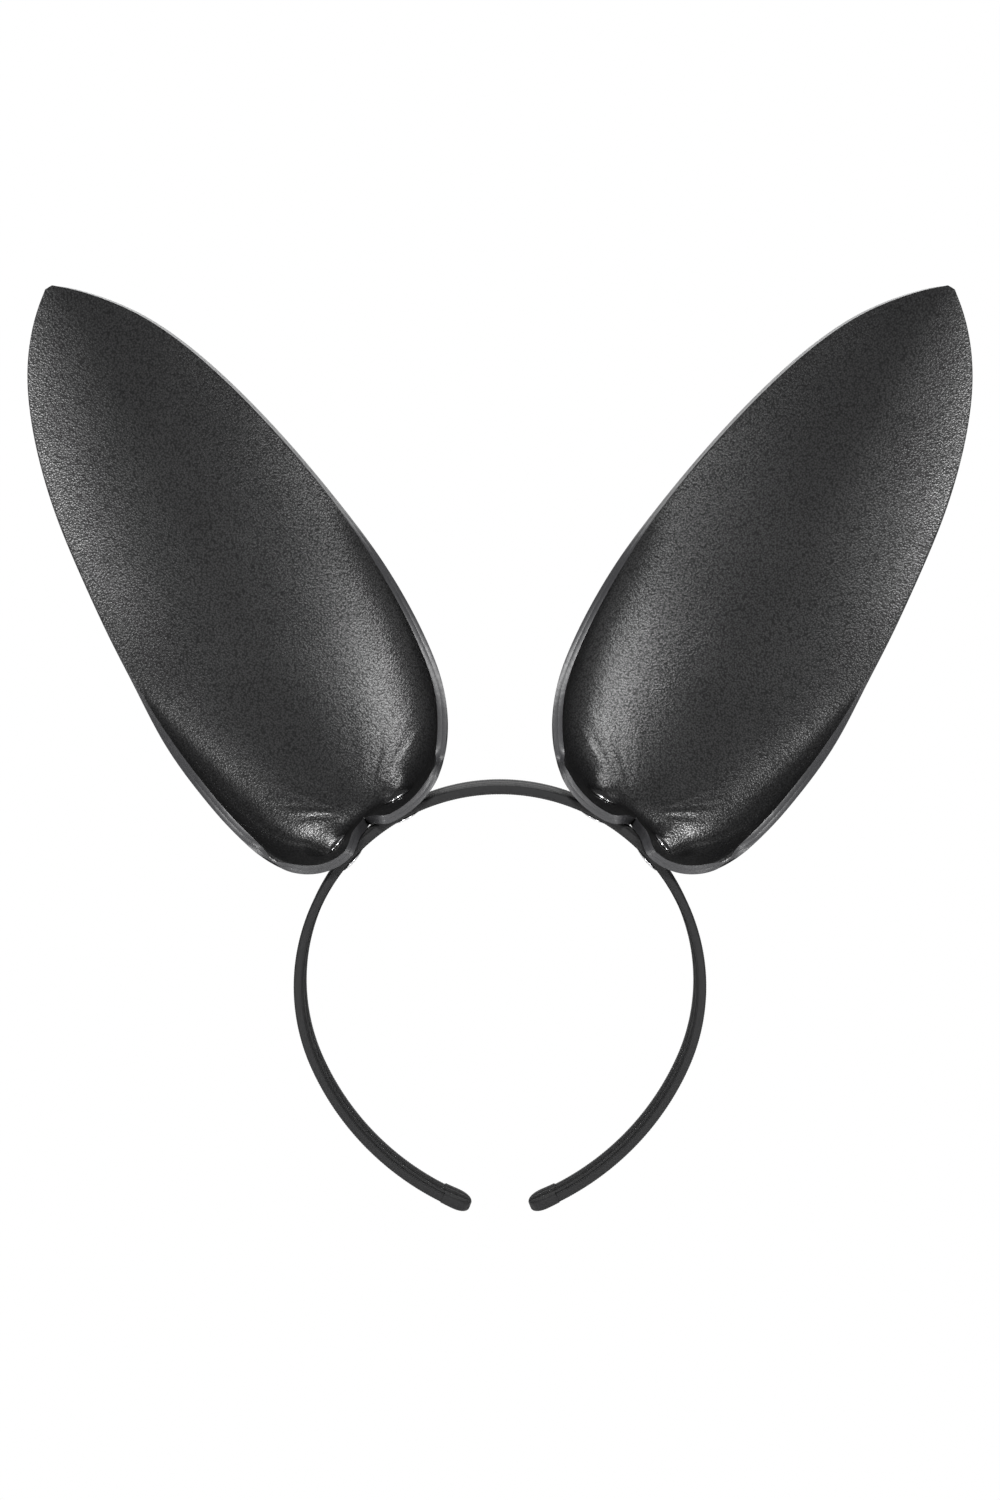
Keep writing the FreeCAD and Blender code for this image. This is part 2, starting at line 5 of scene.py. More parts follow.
import bmesh
import bpy
from bpy.props import FloatProperty, FloatVectorProperty, IntProperty, PointerProperty
from mathutils import Euler, Matrix, Vector, noise
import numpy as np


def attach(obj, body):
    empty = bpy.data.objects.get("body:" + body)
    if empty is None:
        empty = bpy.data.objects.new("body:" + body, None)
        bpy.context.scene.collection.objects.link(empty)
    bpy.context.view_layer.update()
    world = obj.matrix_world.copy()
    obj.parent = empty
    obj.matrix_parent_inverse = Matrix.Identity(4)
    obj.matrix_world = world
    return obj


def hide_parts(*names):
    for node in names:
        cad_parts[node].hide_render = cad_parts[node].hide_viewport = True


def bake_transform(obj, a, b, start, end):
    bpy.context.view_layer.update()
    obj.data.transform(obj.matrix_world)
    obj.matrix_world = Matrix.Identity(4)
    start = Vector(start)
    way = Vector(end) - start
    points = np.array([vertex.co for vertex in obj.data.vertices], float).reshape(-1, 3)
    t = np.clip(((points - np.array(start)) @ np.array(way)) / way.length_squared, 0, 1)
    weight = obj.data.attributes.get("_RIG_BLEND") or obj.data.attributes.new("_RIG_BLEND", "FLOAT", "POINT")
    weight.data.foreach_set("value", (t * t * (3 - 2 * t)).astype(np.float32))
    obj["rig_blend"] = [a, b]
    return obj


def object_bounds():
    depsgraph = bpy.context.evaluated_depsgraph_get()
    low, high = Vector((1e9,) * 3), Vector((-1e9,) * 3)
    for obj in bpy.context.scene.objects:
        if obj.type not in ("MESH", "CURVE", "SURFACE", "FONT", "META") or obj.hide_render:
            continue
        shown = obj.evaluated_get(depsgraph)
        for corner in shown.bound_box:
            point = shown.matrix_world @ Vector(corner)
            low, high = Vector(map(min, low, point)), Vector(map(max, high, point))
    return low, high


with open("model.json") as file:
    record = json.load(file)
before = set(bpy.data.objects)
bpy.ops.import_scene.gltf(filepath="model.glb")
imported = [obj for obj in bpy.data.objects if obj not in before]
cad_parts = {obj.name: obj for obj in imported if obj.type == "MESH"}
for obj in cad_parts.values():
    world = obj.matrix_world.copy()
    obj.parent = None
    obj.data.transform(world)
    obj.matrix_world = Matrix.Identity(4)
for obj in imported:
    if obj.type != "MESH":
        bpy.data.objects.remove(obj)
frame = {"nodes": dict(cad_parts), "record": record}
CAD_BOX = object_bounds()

bl_info = {
    "name": "Animal Ears Headband",
    "version": (1, 0, 0),
    "blender": (4, 5, 0),
    "location": "View3D > Sidebar > Headband",
    "description": "Builds the leather, fabric and metal pieces of an animal ears headband",
    "category": "Object",
}

MM = 0.001
JOINTS = {joint["name"]: joint for joint in frame["record"]["behaviour"]["joints"]}
FLEX_PIVOT = Vector(JOINTS["right_arm_flex"]["pos_m"]) / MM
BAND_OUTER = FLEX_PIVOT.length    # radius of the crown's outer face
FLEX_ANGLE = math.atan2(FLEX_PIVOT.x, FLEX_PIVOT.z)
SIDES = (("left", -1), ("right", 1))

# Leaf of the left ear: (across, up, depth) in millimetres from the ear's seat, one row per
# line from the lobe's front rim to the tip. The first rows are the floor and its fold.
BASE_ROWS = [
    # middle                two inner points and the rim, crown side      ... and arm side
    ((0.0, 0.8, -12.5), ((10, -2.8, -14.2), (22, -1.8, -14.2), (31, 6.0, -13.2)),
     ((-9, -7.6, -14.2), (-22, -6.8, -14.2), (-31, 6.0, -13.2))),
    ((0.0, 0.2, -5.5), ((14, 1.8, -6.2), (29, -1.2, -8.0), (36.4, 13.0, -12.2)),
     ((-14, -2.8, -6.4), (-27.5, -7.8, -8.0), (-33.8, 14.3, -12.4))),
    ((0.0, 0.2, 3.5), ((14, 1.5, 4.5), (33, 0.0, 1.0), (41.7, 22.0, -11.0)),
     ((-14, -3.6, 4.5), (-32.5, -5.0, 1.0), (-36.8, 24.8, -11.2))),
    ((0.0, 1.2, 7.8), ((14, 1.6, 8.8), (38.0, 8.0, 2.5), (44.6, 31.3, -9.0)),
     ((-14, -0.9, 8.8), (-36, 3.0, 4.0), (-39.0, 35.3, -8.0))),
    ((0.0, 7.5, 9.5), ((16, 8.0, 10.0), (40.5, 20.0, 2.5), (46.0, 41.8, -6.8)),
     ((-15, 8.0, 10.0), (-35.5, 15.0, 4.2), (-41.1, 46.0, -4.0))),
    ((0.0, 22.0, 9.5), ((17, 23.0, 9.8), (41.5, 35.0, 3.0), (46.9, 54.5, -4.6)),
     ((-15, 22.5, 9.8), (-35, 31.0, 5.4), (-42.6, 59.0, -0.2))),
    ((0.0, 40.0, 9.3), ((17, 42.0, 9.2), (41, 54.0, 3.8), (46.9, 70.0, -2.9)),
     ((-15, 42.0, 9.2), (-34, 51.0, 6.2), (-42.4, 74.5, 2.0))),
]
# Blade rows: middle up and depth, crown-side rim across and up, arm-side rim across and up,
# rim depth, and how boxy the section is, from 0 for a plain arch.
BLADE_ROWS = [
    (64.0, 8.8, 45.3, 88.5, -41.5, 92.0, 1.4, 0.30),
    (92.0, 8.2, 41.9, 111.5, -39.0, 114.0, 1.8, 0.20),
    (120.0, 7.4, 37.2, 134.0, -36.2, 135.5, 2.0, 0.10),
    (147.0, 6.5, 30.7, 156.5, -30.7, 157.0, 2.6, 0.05),
    (170.0, 5.6, 22.7, 175.0, -23.2, 175.3, 3.1, 0.0),
    (186.0, 4.9, 13.2, 187.8, -14.3, 188.0, 3.8, 0.0),
    (195.0, 4.4, 5.4, 195.8, -6.2, 195.6, 4.1, 0.0),
    (199.0, 4.2, 1.3, 198.9, -1.3, 198.9, 4.2, 0.0),
]
# Where the two inner control points of a blade's half section stand between its middle and its
# rim, as shares across, up and in depth: those of a plain arch, and what a boxy one adds.
NEAR_ARCH, NEAR_BOX = (0.34, 0.33, 0.05), (0.0, -0.28, 0.0)
FAR_ARCH, FAR_BOX = (0.667, 0.667, 0.38), (0.2, -0.37, 0.0)
MIDDLE_BLEND = 0.3                # share of a half over which the leaf's two halves merge
FLAT_RADIUS = 5.3                 # flat seat under a rivet cap, and where it fades out
FADE_RADIUS = 9.6
FLAT_HEIGHT = 6.0                 # how far from the seat the leaf is still pressed flat
FADE_HEIGHT = 10.0
SLIT_MIDDLE = -0.4
# Half the slit's width against depth, from its apex forwards, with the lobes' round corners.
SLIT_SHAPE = ((3.0, 0.0), (-10.0, 4.2), (-12.3, 5.6), (-13.4, 7.4), (-14.2, 9.5))
SLIT_SEARCH = 0.6                 # the slit's edge is never further out than this share
SLIT_HALVINGS = 20                # how often the search for the slit's edge halves its range
SLIT_CLOSED = 0.002               # a share this small means that there is no slit
# Creases fan out from a point over the seat on each lobe. Angles are in degrees from straight up.
CREASE_CENTRE = 2.0               # height of that point
CREASE_START = (14, 5)            # reach at which a crease is full, and where it has faded inwards
CREASE_LENGTH = {1: 46, -1: 34}   # reach of the creases, crown side and arm side
CREASE_FULL_SHARE = 0.4           # share of that reach up to which they are full
CREASE_MIDDLE = 48                # angle of a fan's middle, and the angles from it where the fan
CREASE_SPREAD = (6, 30)           # is full and has faded out
# Broad and fine creases: degrees across, length along, seed and share of the height.
CREASES = ((3.6, 30, 3.7, 1.0), (1.9, 18, 9.1, 0.5))
RIM_SMOOTHING = 12                # passes that even out the way the leaf's rim faces

RIB_STEPS = 4                     # divisions along each rib of the ribbon
COARSE_STEP = 8                   # ribbon divisions that one step of the sweep covers
COARSE_LENGTH = 1.0               # a sweep's step is longer than this, and a section's edge not
CORNER_STEPS = 5                  # divisions round a corner of a strip's section
WIDTH_CUTS = 7                    # cuts across the width of a strip's section
SEAM_SETBACK = 8.0                # from an arm's flex line back to where its ribbon begins
BLEND_REACH = (-5.0, 6.0)         # where an arm's ribbon starts and stops turning at its flex line
LINING_OVERLAP = 0.1              # how far the lining reaches into the cover
LINING_ROUNDING = 0.12
RIBBON_THREAD, WRAP_THREAD = 0.35, 0.3
NOSE_THICKNESS = 0.45             # share of a wrap's thickness left at its very end
NOSE_WIDTH = 0.02                 # and the least share of its width
HEM_THINNING = 0.13               # share of a wrap's thickness that its hem loses

CAP_ROLL = 0.3                    # cut across the rolled edge of a rivet's cap, as a share
DOME_STEPS = 10                   # divisions of a dome from rim to middle
TURN_STEPS = 56                   # divisions round a rivet
TUBE_PLAY = 0.02                  # from a rivet's post to the tube round it
POST_STOP = 0.1                   # from a rivet's post to the floor of its tube

# A Mix node's sockets for its two colours and for the colour it gives
MIX_FIRST, MIX_SECOND, MIX_RESULT = 6, 7, 2


class BandSettings(bpy.types.PropertyGroup):
    """Sizes and colour of the covered band, in millimetres."""

    thickness: FloatProperty(name="Thickness", description="Whole strip through its layers",
                             default=3.3)
    lining: FloatProperty(name="Lining", description="Thickness of the inner ribbon", default=0.4)
    lining_margin: FloatProperty(name="Lining margin", description="From lining to band edge",
                                 default=1.6)
    width: FloatProperty(name="Width", description="Width over the crown", default=16.0)
    tip_width: FloatProperty(name="Tip width", description="Width at the ends", default=11.0)
    rounding: FloatProperty(name="Edge rounding", description="Radius of the long edges",
                            default=0.9)
    arm_radius: FloatProperty(name="Arm radius", description="Bend of the lower arms", default=90.0)
    arm_start: FloatProperty(name="Lower arm start", description="Angle from the top",
                             subtype="ANGLE", default=math.radians(113))
    arm_sweep: FloatProperty(name="Lower arm turn", description="Angle of the lower arm",
                             subtype="ANGLE", default=math.radians(46))
    taper_top: FloatProperty(name="Taper top", description="Height where it narrows", default=40.0)
    taper_bottom: FloatProperty(name="Taper bottom", description="Height of full taper",
                                default=-80.0)
    rib: FloatProperty(name="Rib pitch", description="Distance between ribs", default=0.8)
    rib_height: FloatProperty(name="Rib height", description="Half depth of a rib", default=0.045)
    wrap_length: FloatProperty(name="Wrap length", description="Folded end wraps", default=10.0)
    wrap_thickness: FloatProperty(name="Wrap thickness", description="Cloth of a wrap", default=0.4)
    wrap_nose: FloatProperty(name="Wrap nose", description="Folded cloth past the strip",
                             default=4.0)
    colour: FloatVectorProperty(name="Ribbon colour", description="Colour of the fabric",
                                subtype="COLOR", size=3, default=(0.007, 0.007, 0.0075))


class EarSettings(bpy.types.PropertyGroup):
    """Sizes and colours of the leather ears, in millimetres."""

    thickness: FloatProperty(name="Leather", description="Both plies together", default=3.0)
    bond: FloatProperty(name="Bond", description="Glue line between the plies", default=0.02)
    seat_lift: FloatProperty(name="Seat lift", description="Clearance over the band", default=0.2)
    lean: FloatProperty(name="Lean", description="Tilt of each ear outwards", subtype="ANGLE",
                        default=math.radians(30.3))
    seat_angle: FloatProperty(name="Seat", description="Place of each ear from the band's top",
                              subtype="ANGLE", default=math.radians(38.8))
    rows: IntProperty(name="Rows", description="Divisions along the leaf", default=200)
    columns: IntProperty(name="Columns", description="Divisions from middle to rim", default=54)
    edge_round: FloatProperty(name="Edge rounding", description="Outer edge of a ply", default=0.3)
    bond_round: FloatProperty(name="Bond rounding", description="Edge beside the glue line",
                              default=0.1)
    wrinkle: FloatProperty(name="Wrinkle", description="Height of the creases", default=0.22)
    grain: FloatProperty(name="Grain", description="Size of the pebble grain", default=0.6)
    colour: FloatVectorProperty(name="Leather colour", description="Grain side", subtype="COLOR",
                                size=3, default=(0.01, 0.01, 0.0103))
    edge_colour: FloatVectorProperty(name="Edge paint", description="Painted edge",
                                     subtype="COLOR", size=3, default=(0.032, 0.032, 0.034))


class RivetSettings(bpy.types.PropertyGroup):
    """Sizes and colour of the rivets, in millimetres."""

    inner_angle: FloatProperty(name="Inner", description="Crown-side rivet from the top",
                               subtype="ANGLE", default=math.radians(28.4))
    outer_angle: FloatProperty(name="Outer", description="Arm-side rivet from the top",
                               subtype="ANGLE", default=math.radians(49.1))
    radius: FloatProperty(name="Cap radius", description="Radius of a cap", default=4.5)
    height: FloatProperty(name="Cap height", description="Height of a cap's dome", default=1.7)
    edge: FloatProperty(name="Cap edge", description="Height of a cap's rim", default=0.5)
    gap: FloatProperty(name="Cap gap", description="Between cap and leather", default=0.1)
    back_height: FloatProperty(name="Back height", description="Height of a back cap", default=1.0)
    back_edge: FloatProperty(name="Back edge", description="Rim of a back cap", default=0.4)
    back_drop: FloatProperty(name="Back drop", description="Gap under the lining", default=0.2)
    post: FloatProperty(name="Post", description="Radius of the post", default=1.5)
    socket: FloatProperty(name="Socket", description="Radius of the back's tube", default=2.0)
    colour: FloatVectorProperty(name="Nickel", description="Metal colour", subtype="COLOR",
                                size=3, default=(0.78, 0.78, 0.79))


def ease(value, full, none):
    """Fall smoothly from 1 at one value to 0 at another."""
    part = min(max((none - value) / (none - full), 0.0), 1.0)
    return part ** 2 * (3 - 2 * part)


def finish_mesh(bm, name, materials):
    """Turn a bmesh in metres into a smooth object with its materials."""
    mesh = bpy.data.meshes.new(name)
    for face in bm.faces:
        face.smooth = True
    bm.to_mesh(mesh)
    bm.free()
    piece = bpy.data.objects.new(name, mesh)
    bpy.context.collection.objects.link(piece)
    for material in materials:
        mesh.materials.append(material)
    return piece


# ---- materials ----

def new_material(name, colour, roughness, metallic=0.0):
    """A principled material, its node tree and its shader."""
    material = bpy.data.materials.new(name)
    material.use_nodes = True
    shader = material.node_tree.nodes["Principled BSDF"]
    shader.inputs["Base Color"].default_value = (*colour, 1)
    shader.inputs["Roughness"].default_value = roughness
    shader.inputs["Metallic"].default_value = metallic
    return material, material.node_tree, shader


def texture(tree, kind, **inputs):
    """A texture node on Object coordinates; each value sets an input or a setting by its name."""
    node = tree.nodes.new(kind)
    for name, value in inputs.items():
        if name in node.inputs:
            node.inputs[name].default_value = value
        else:
            setattr(node, name, value)
    place = tree.nodes.get("Texture Coordinate") or tree.nodes.new("ShaderNodeTexCoord")
    tree.links.new(place.outputs["Object"], node.inputs["Vector"])
    return node


def bump(tree, height, strength, distance, normal=None):
    """Raise the surface by a height, over an earlier bump if one is given."""
    node = tree.nodes.new("ShaderNodeBump")
    node.inputs["Strength"].default_value = strength
    node.inputs["Distance"].default_value = distance
    tree.links.new(height, node.inputs["Height"])
    if normal:
        tree.links.new(normal, node.inputs["Normal"])
    return node.outputs["Normal"]


def spread(tree, value, low, high, start=0.0, stop=1.0):
    """Map the values between a start and a stop onto another range."""
    node = tree.nodes.new("ShaderNodeMapRange")
    node.inputs["From Min"].default_value = start
    node.inputs["From Max"].default_value = stop
    node.inputs["To Min"].default_value = low
    node.inputs["To Max"].default_value = high
    tree.links.new(value, node.inputs["Value"])
    return node.outputs["Result"]


def leather_material(name, colour, grain, roughness, grain_depth):
    """Grained leather: pebbles with dull pits between them, gentle waves and uneven polish, with painted
    shade darkening the pits and painted light on the pebble tops.
    """
    material, tree, shader = new_material(name, colour, roughness)
    link = tree.links.new
    warp = texture(tree, "ShaderNodeTexNoise", Scale=900.0, Detail=2.0)
    shift = tree.nodes.new("ShaderNodeVectorMath")
    shift.operation = "MULTIPLY_ADD"
    direction, amount, place = shift.inputs[:3]
    link(warp.outputs["Color"], direction)
    amount.default_value = (grain * MM,) * 3
    link(tree.nodes["Texture Coordinate"].outputs["Object"], place)
    pebbles = texture(tree, "ShaderNodeTexVoronoi", feature="SMOOTH_F1", Scale=1 / (grain * MM),
                      Smoothness=0.3)
    link(shift.outputs["Vector"], pebbles.inputs["Vector"])
    pores = texture(tree, "ShaderNodeTexNoise", Scale=2600.0, Detail=3.0, Roughness=0.6)
    waves = texture(tree, "ShaderNodeTexNoise", Scale=60.0, Detail=4.0)
    pebble_height = spread(tree, pebbles.outputs["Distance"], low=1.0, high=0.0)
    normal = bump(tree, pores.outputs["Fac"], strength=0.1, distance=0.0001)
    normal = bump(tree, pebble_height, grain_depth, distance=0.0003, normal=normal)
    normal = bump(tree, waves.outputs["Fac"], strength=0.12, distance=0.0012, normal=normal)
    link(normal, shader.inputs["Normal"])
    polish = texture(tree, "ShaderNodeTexNoise", Scale=35.0, Detail=5.0, Roughness=0.6)
    link(spread(tree, polish.outputs["Fac"], low=roughness - 0.05, high=roughness + 0.05),
         shader.inputs["Roughness"])
    gloss = spread(tree, pebbles.outputs["Distance"], low=0.75, high=0.25, start=0.15, stop=0.75)
    link(gloss, shader.inputs["Specular IOR Level"])
    # Painted shade: the leather's colour drops to 0.6 of itself in the pits between the pebbles and rises to
    # 1.4 on their tops, following the pebbles' height.
    pit_shade_mix = tree.nodes.new("ShaderNodeMix")
    pit_shade_mix.data_type = "RGBA"
    for socket, share in ((MIX_FIRST, 0.6), (MIX_SECOND, 1.4)):
        pit_shade_mix.inputs[socket].default_value = (*(channel * share for channel in colour), 1)
    link(pebble_height, pit_shade_mix.inputs["Factor"])
    link(pit_shade_mix.outputs[MIX_RESULT], shader.inputs["Base Color"])
    return material


def edge_material(colour):
    """Burnished edge paint, smooth with a little waviness and rubbed glossier in places."""
    material, tree, shader = new_material("edge_paint", colour, roughness=0.4)
    waver = texture(tree, "ShaderNodeTexNoise", Scale=500.0, Detail=3.0)
    rubbed = texture(tree, "ShaderNodeTexNoise", Scale=90.0, Detail=4.0)
    normal = bump(tree, waver.outputs["Fac"], strength=0.3, distance=0.0003)
    tree.links.new(normal, shader.inputs["Normal"])
    polish = spread(tree, rubbed.outputs["Fac"], low=0.3, high=0.5)
    tree.links.new(polish, shader.inputs["Roughness"])
    return material


def fabric_material(name, colour, thread):
    """Fine threads a few tenths of a millimetre apart, with the soft sheen of rayon."""
    material, tree, shader = new_material(name, colour, roughness=0.6)
    shader.inputs["Sheen Weight"].default_value = 0.04
    shader.inputs["Sheen Roughness"].default_value = 0.45
    shader.inputs["Specular IOR Level"].default_value = 0.3
    threads = texture(tree, "ShaderNodeTexWave", wave_type="BANDS", bands_direction="Y",
                      Scale=0.05 / (thread * MM), Distortion=1.5, Detail=2.0)
    fuzz = texture(tree, "ShaderNodeTexNoise", Scale=4000.0, Detail=2.0)
    normal = bump(tree, fuzz.outputs["Fac"], strength=0.15, distance=0.00005)
    normal = bump(tree, threads.outputs["Fac"], strength=0.3, distance=0.00006, normal=normal)
    tree.links.new(normal, shader.inputs["Normal"])
    dullness = spread(tree, fuzz.outputs["Fac"], low=0.58, high=0.72)
    tree.links.new(dullness, shader.inputs["Roughness"])
    return material


def metal_material(colour):
    """Polished nickel with faint handling marks."""
    material, tree, shader = new_material("polished_nickel", colour, roughness=0.25, metallic=1.0)
    marks = texture(tree, "ShaderNodeTexNoise", Scale=900.0, Detail=4.0)
    polish = spread(tree, marks.outputs["Fac"], low=0.2, high=0.3)
    tree.links.new(polish, shader.inputs["Roughness"])
    return material


def plastic_material():
    """Matt moulded plastic of the hidden spring strip."""
    material, tree, shader = new_material("spring_plastic", (0.03, 0.03, 0.03), roughness=0.5)
    mould = texture(tree, "ShaderNodeTexNoise", Scale=1500.0, Detail=2.0)
    normal = bump(tree, mould.outputs["Fac"], strength=0.2, distance=0.0001)
    tree.links.new(normal, shader.inputs["Normal"])
    dullness = spread(tree, mould.outputs["Fac"], low=0.4, high=0.6)
    tree.links.new(dullness, shader.inputs["Roughness"])
    return material


# ---- band ----

def middle_radius(band):
    """Radius of the crown at the middle of the band's thickness."""
    return BAND_OUTER - band.thickness / 2


def lower_centre(band):
    """Centre of the right arm's lower arc, which leaves the crown's arc smoothly."""
    shift = middle_radius(band) - band.arm_radius
    return Vector((shift * math.sin(band.arm_start), 0, shift * math.cos(band.arm_start)))


def bend_distance(band):
    """Distance from the top to where the lower arm's arc begins."""
    return middle_radius(band) * band.arm_start


def strip_point(band, distance):
    """A point of the right side's middle line at a distance along it from the top."""
    radius = middle_radius(band)
    bend = bend_distance(band)
    if distance <= bend:
        angle = distance / radius
        return Vector((math.sin(angle), 0, math.cos(angle))) * radius
    angle = band.arm_start + (distance - bend) / band.arm_radius
    return lower_centre(band) + Vector((math.sin(angle), 0, math.cos(angle))) * band.arm_radius


def strip_distance(band, point):
    """Distance of a point of the right side along the strip from the top."""
    angle = math.atan2(point.x, point.z)
    if angle <= band.arm_start:
        return middle_radius(band) * angle
    offset = point - lower_centre(band)
    turn = math.atan2(offset.x, offset.z) - band.arm_start
    return bend_distance(band) + band.arm_radius * turn


def strip_end(band):
    """Distance from the top to the very end of an arm, its wrap included."""
    return bend_distance(band) + band.arm_radius * band.arm_sweep


def strip_outline(width, low, high, rounding):
    """The rounded outline of a strip's section, standing at the top of the band."""
    bm = bmesh.new()
    bmesh.ops.create_grid(bm, x_segments=1, y_segments=1, size=0.5)
    bmesh.ops.scale(bm, vec=(width, high - low, 1), verts=bm.verts[:])
    bmesh.ops.bevel(bm, geom=bm.verts[:], affect="VERTICES", offset=rounding,
                    segments=CORNER_STEPS, profile=0.5, material=-1)
    long_edges = [edge for edge in bm.edges if edge.calc_length() > width / 2]
    bmesh.ops.subdivide_edges(bm, edges=long_edges, cuts=WIDTH_CUTS)
    bmesh.ops.delete(bm, geom=bm.faces[:], context="FACES_ONLY")
    # width from X to Y, height from Y to Z, centred between low and high
    stand = Matrix(((0, 0, 1, 0), (1, 0, 0, 0), (0, 1, 0, (low + high) / 2), (0, 0, 0, 1)))
    bmesh.ops.transform(bm, matrix=stand, verts=bm.verts[:])
    offset = bm.verts.layers.float.new("offset")
    for vert in bm.verts:
        vert[offset] = vert.co.z
    return bm


def sweep_strip(bm, band, start, end):
    """Carry a section along the band, round the crown's arc and then the lower arm's."""
    radius = middle_radius(band)
    bend = bend_distance(band)
    centre = lower_centre(band)
    bmesh.ops.translate(bm, vec=(0, 0, radius), verts=bm.verts[:])
    turns = ((Vector(), min(start, bend) / radius),
             (centre, max(start - bend, 0) / band.arm_radius))
    for pivot, turn in turns:
        bmesh.ops.rotate(bm, cent=pivot, matrix=Matrix.Rotation(turn, 3, "Y"), verts=bm.verts[:])
    section = bm.verts[:] + bm.edges[:]
    for low, high, run_radius, run_centre in ((start, min(end, bend), radius, Vector()),
                                              (max(start, bend), end, band.arm_radius, centre)):
        if high > low:
            steps = math.ceil((high - low) / band.rib * RIB_STEPS / COARSE_STEP)
            section = bmesh.ops.spin(bm, geom=section, cent=run_centre, axis=(0, 1, 0),
                                     angle=(high - low) / run_radius, steps=steps,
                                     use_merge=False)["geom_last"]
    lengthwise = [edge for edge in bm.edges if along_strip(edge)]
    bmesh.ops.subdivide_edges(bm, edges=lengthwise, cuts=COARSE_STEP - 1)


def along_strip(edge):
    """Whether an edge of a strip runs along it, and not across."""
    offset = edge.verts[0].co - edge.verts[1].co
    return abs(offset.y) < 1e-4 and Vector((offset.x, offset.z)).length > COARSE_LENGTH


def rib_strip(bm, band, rib_height):
    """Round the strip out to its true arc, narrow it down the arms and raise its cross ribs."""
    offset = bm.verts.layers.float["offset"]
    bm.normal_update()
    normals = [vert.normal.copy() for vert in bm.verts]
    for vert, normal in zip(bm.verts, normals):
        side = 1 if vert.co.x >= 0 else -1
        distance = strip_distance(band, Vector((side * vert.co.x, 0, vert.co.z)))
        point = strip_point(band, distance)
        centre = lower_centre(band) if distance > bend_distance(band) else Vector()
        outward = (point - centre).normalized()
        place = point + outward * vert[offset]
        part = (band.taper_top - point.z) / (band.taper_top - band.taper_bottom)
        slim = 1 + (band.tip_width / band.width - 1) * min(max(part, 0), 1)
        rib = rib_height * (math.cos(math.tau * distance / band.rib) - 1)
        vert.co = Vector((side * place.x, vert.co.y * slim, place.z)) + normal * rib


def close_strip(bm):
    """Close a strip's two ends and turn its faces outwards."""
    bmesh.ops.holes_fill(bm, edges=[edge for edge in bm.edges if edge.is_boundary], sides=0)
    bmesh.ops.recalc_face_normals(bm, faces=bm.faces[:])


def to_metres(bm, side=1):
    """From millimetres on the right side to metres on either side."""
    bmesh.ops.scale(bm, vec=(side * MM, MM, MM), verts=bm.verts[:])
    if side < 0:
        bmesh.ops.reverse_faces(bm, faces=bm.faces[:])


def build_ribbon(name, band, span, layer, material, side=1):
    """A ribbed strip between two distances along the band from its top."""
    width, low, high, rounding = layer
    bm = strip_outline(width, low, high, rounding)
    sweep_strip(bm, band, *span)
    rib_strip(bm, band, band.rib_height)
    close_strip(bm)
    to_metres(bm, side)
    return finish_mesh(bm, name, [material])


def build_wrap(name, band, material, side):
    """The folded cloth wrap at an arm's end, closing to a round nose."""
    half = band.thickness / 2 + band.wrap_thickness
    width = band.width * (1 + 2 * band.wrap_thickness / band.tip_width)
    end = strip_end(band)
    bm = strip_outline(width, -half, half, band.rounding + band.wrap_thickness)
    sweep_strip(bm, band, end - band.wrap_length, end)
    rib_strip(bm, band, band.rib_height / 2)
    radius = width * band.tip_width / band.width / 2
    for vert in bm.verts:
        distance = strip_distance(band, vert.co)
        nose = max(0.0, 1 - (end - distance) / radius)
        hem = max(0.0, 1 - (distance - end + band.wrap_length) / band.wrap_length)
        slim = max(math.sqrt(max(0.0, 1 - nose ** 2)), NOSE_WIDTH)
        thin = NOSE_THICKNESS + (1 - NOSE_THICKNESS) * math.sqrt(max(0.0, 1 - nose ** 3))
        thin *= 1 - HEM_THINNING * hem
        centre = strip_point(band, distance)
        offset = Vector((vert.co.x, 0, vert.co.z)) - centre
        vert.co = centre + offset * thin + Vector((0, vert.co.y * slim, 0))
    close_strip(bm)
    to_metres(bm, side)
    return finish_mesh(bm, name, [material])


class HEADBAND_OT_band(bpy.types.Operator):
    """Build the ribbed ribbon over the crown and both arms, with the lining inside it"""

    bl_idname = "headband.band"
    bl_label = "Build band"

    def execute(self, context):
        band = context.scene.headband_band
        half = band.thickness / 2
        pivot = middle_radius(band) * FLEX_ANGLE
        seam = math.floor((pivot - SEAM_SETBACK) / band.rib) * band.rib
        end = strip_end(band) - band.wrap_nose
        layers = {
            "cover": (band.width, band.lining - half, half, band.rounding),
            "lining": (band.width - 2 * band.lining_margin, -half,
                       band.lining - half + LINING_OVERLAP, LINING_ROUNDING)}
        slots = {"cover": "ribbed_fabric", "lining": "lining_ribbon"}
        blend_ends = [strip_point(band, pivot + reach) for reach in BLEND_REACH]
        for part, layer in layers.items():
            fabric = fabric_material(slots[part], band.colour, RIBBON_THREAD)
            crown = build_ribbon(f"crown_{part}_ribbon", band, (-seam, seam), layer, fabric)
            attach(crown, "crown")
            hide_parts(f"crown_{part}")
            for name, side in SIDES:
                arm = build_ribbon(f"{name}_arm_{part}_ribbon", band, (seam, end), layer, fabric,
                                   side)
                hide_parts(f"{name}_arm_{part}")
                start, stop = ((side * point.x * MM, 0, point.z * MM) for point in blend_ends)
                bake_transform(arm, "crown", f"{name}_arm", start=start, end=stop)
        return {"FINISHED"}


class HEADBAND_OT_core(bpy.types.Operator):
    """Give the hidden spring strip its moulded plastic"""

    bl_idname = "headband.core"
    bl_label = "Finish core"

    def execute(self, context):
        plastic = plastic_material()
        for name in ("crown_core", "left_arm_core", "right_arm_core"):
            for slot in frame["nodes"][name].material_slots:
                slot.material = plastic
        return {"FINISHED"}


